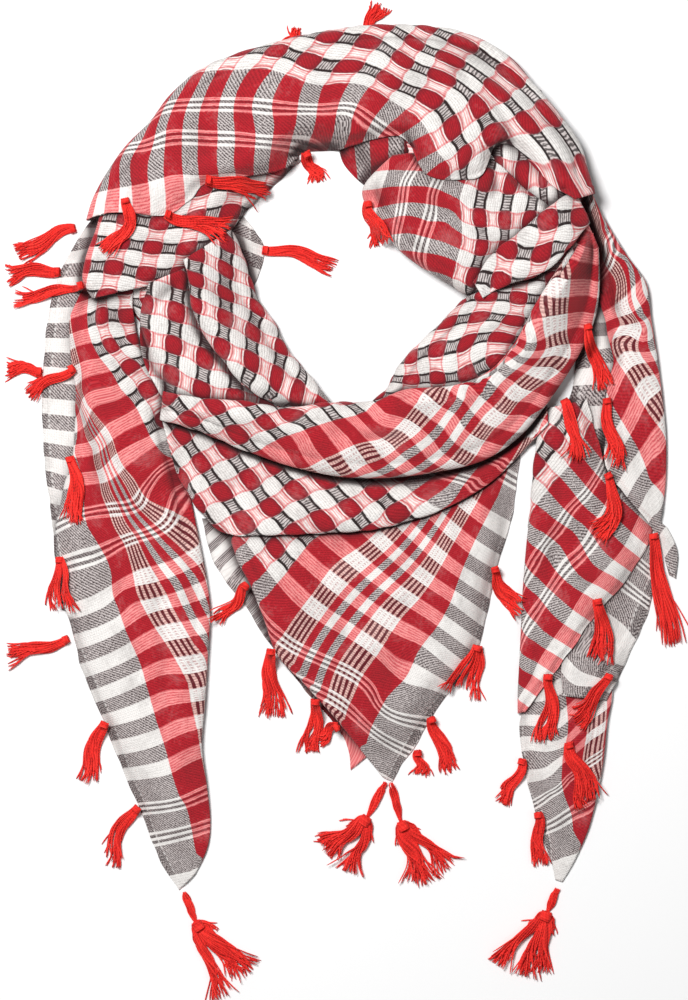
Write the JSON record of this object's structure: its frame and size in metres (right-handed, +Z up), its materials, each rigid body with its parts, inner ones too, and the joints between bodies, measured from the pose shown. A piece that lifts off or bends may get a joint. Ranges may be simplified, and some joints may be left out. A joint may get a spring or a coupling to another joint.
{
  "type": "keffiyeh headscarf",
  "caption": "Square checked cotton keffiyeh folded on its diagonal and wound to a neck ring, laid flat, with tasselled edges and corner tassels.",
  "frame": {"origin": "centre of the bounding box's footprint, on the surface that the scarf lies on", "axes": "+Y towards the back of the neck ring, +X to the right seen from above, +Z up"},
  "size_m": [0.4086, 0.6006, 0.0401],
  "materials": {
    "check_cotton": "matte woven cotton, red, white and black check",
    "hidden_cotton": "matte woven cotton, hidden layers",
    "tassel_yarn": "soft red yarn"
  },
  "bodies": {
    "root": {"hidden_layers_ring": "hidden_cotton", "hidden_layers_left_tail": "hidden_cotton", "hidden_layers_front": "hidden_cotton", "hidden_layers_right": "hidden_cotton", "back_left_fold": "check_cotton", "hole_flap_left": "check_cotton", "hole_flap_top": "check_cotton", "right_edge_strip": "check_cotton", "left_tail": "check_cotton", "left_shoulder": "check_cotton", "neck_pleat_right": "check_cotton", "inner_wrap_right": "check_cotton", "front_middle": "check_cotton", "neck_roll_left": "check_cotton", "neck_roll_right": "check_cotton", "front_back_layer": "check_cotton", "front_point": "check_cotton", "right_tail_end": "check_cotton", "right_tail_side": "check_cotton", "right_tail_panel": "check_cotton", "right_side_fold": "check_cotton", "front_swag": "check_cotton", "front_upper": "check_cotton", "neck_fold_right": "check_cotton", "top_band": "check_cotton", "tassels_top_outer": "tassel_yarn", "tassels_band_left": "tassel_yarn", "tassel_band_middle": "tassel_yarn", "tassel_band_hole": "tassel_yarn", "tassel_hole_right": "tassel_yarn", "tassel_hole_left": "tassel_yarn", "tassel_back_1": "tassel_yarn", "tassels_back_2": "tassel_yarn", "tassels_back_3": "tassel_yarn", "tassel_left_1": "tassel_yarn", "tassel_left_2": "tassel_yarn", "tassel_left_3": "tassel_yarn", "tassel_left_4": "tassel_yarn", "tassel_left_5": "tassel_yarn", "tassel_front_0": "tassel_yarn", "tassel_front_1": "tassel_yarn", "tassels_front_2": "tassel_yarn", "tassels_front_3": "tassel_yarn", "tassel_front_4": "tassel_yarn", "tassel_front_5": "tassel_yarn", "tassel_right_1": "tassel_yarn", "tassel_right_2": "tassel_yarn", "tassels_right_3": "tassel_yarn", "tassel_right_4": "tassel_yarn", "tassel_right_5": "tassel_yarn", "tassel_right_6": "tassel_yarn", "tassel_right_7": "tassel_yarn", "tassel_right_8": "tassel_yarn", "tassel_right_9": "tassel_yarn", "tassel_right_10": "tassel_yarn", "corner_tassel_left": "tassel_yarn", "corner_tassel_front_1": "tassel_yarn", "corner_tassel_front_2": "tassel_yarn", "corner_tassel_right": "tassel_yarn"}
  },
  "joints": []
}
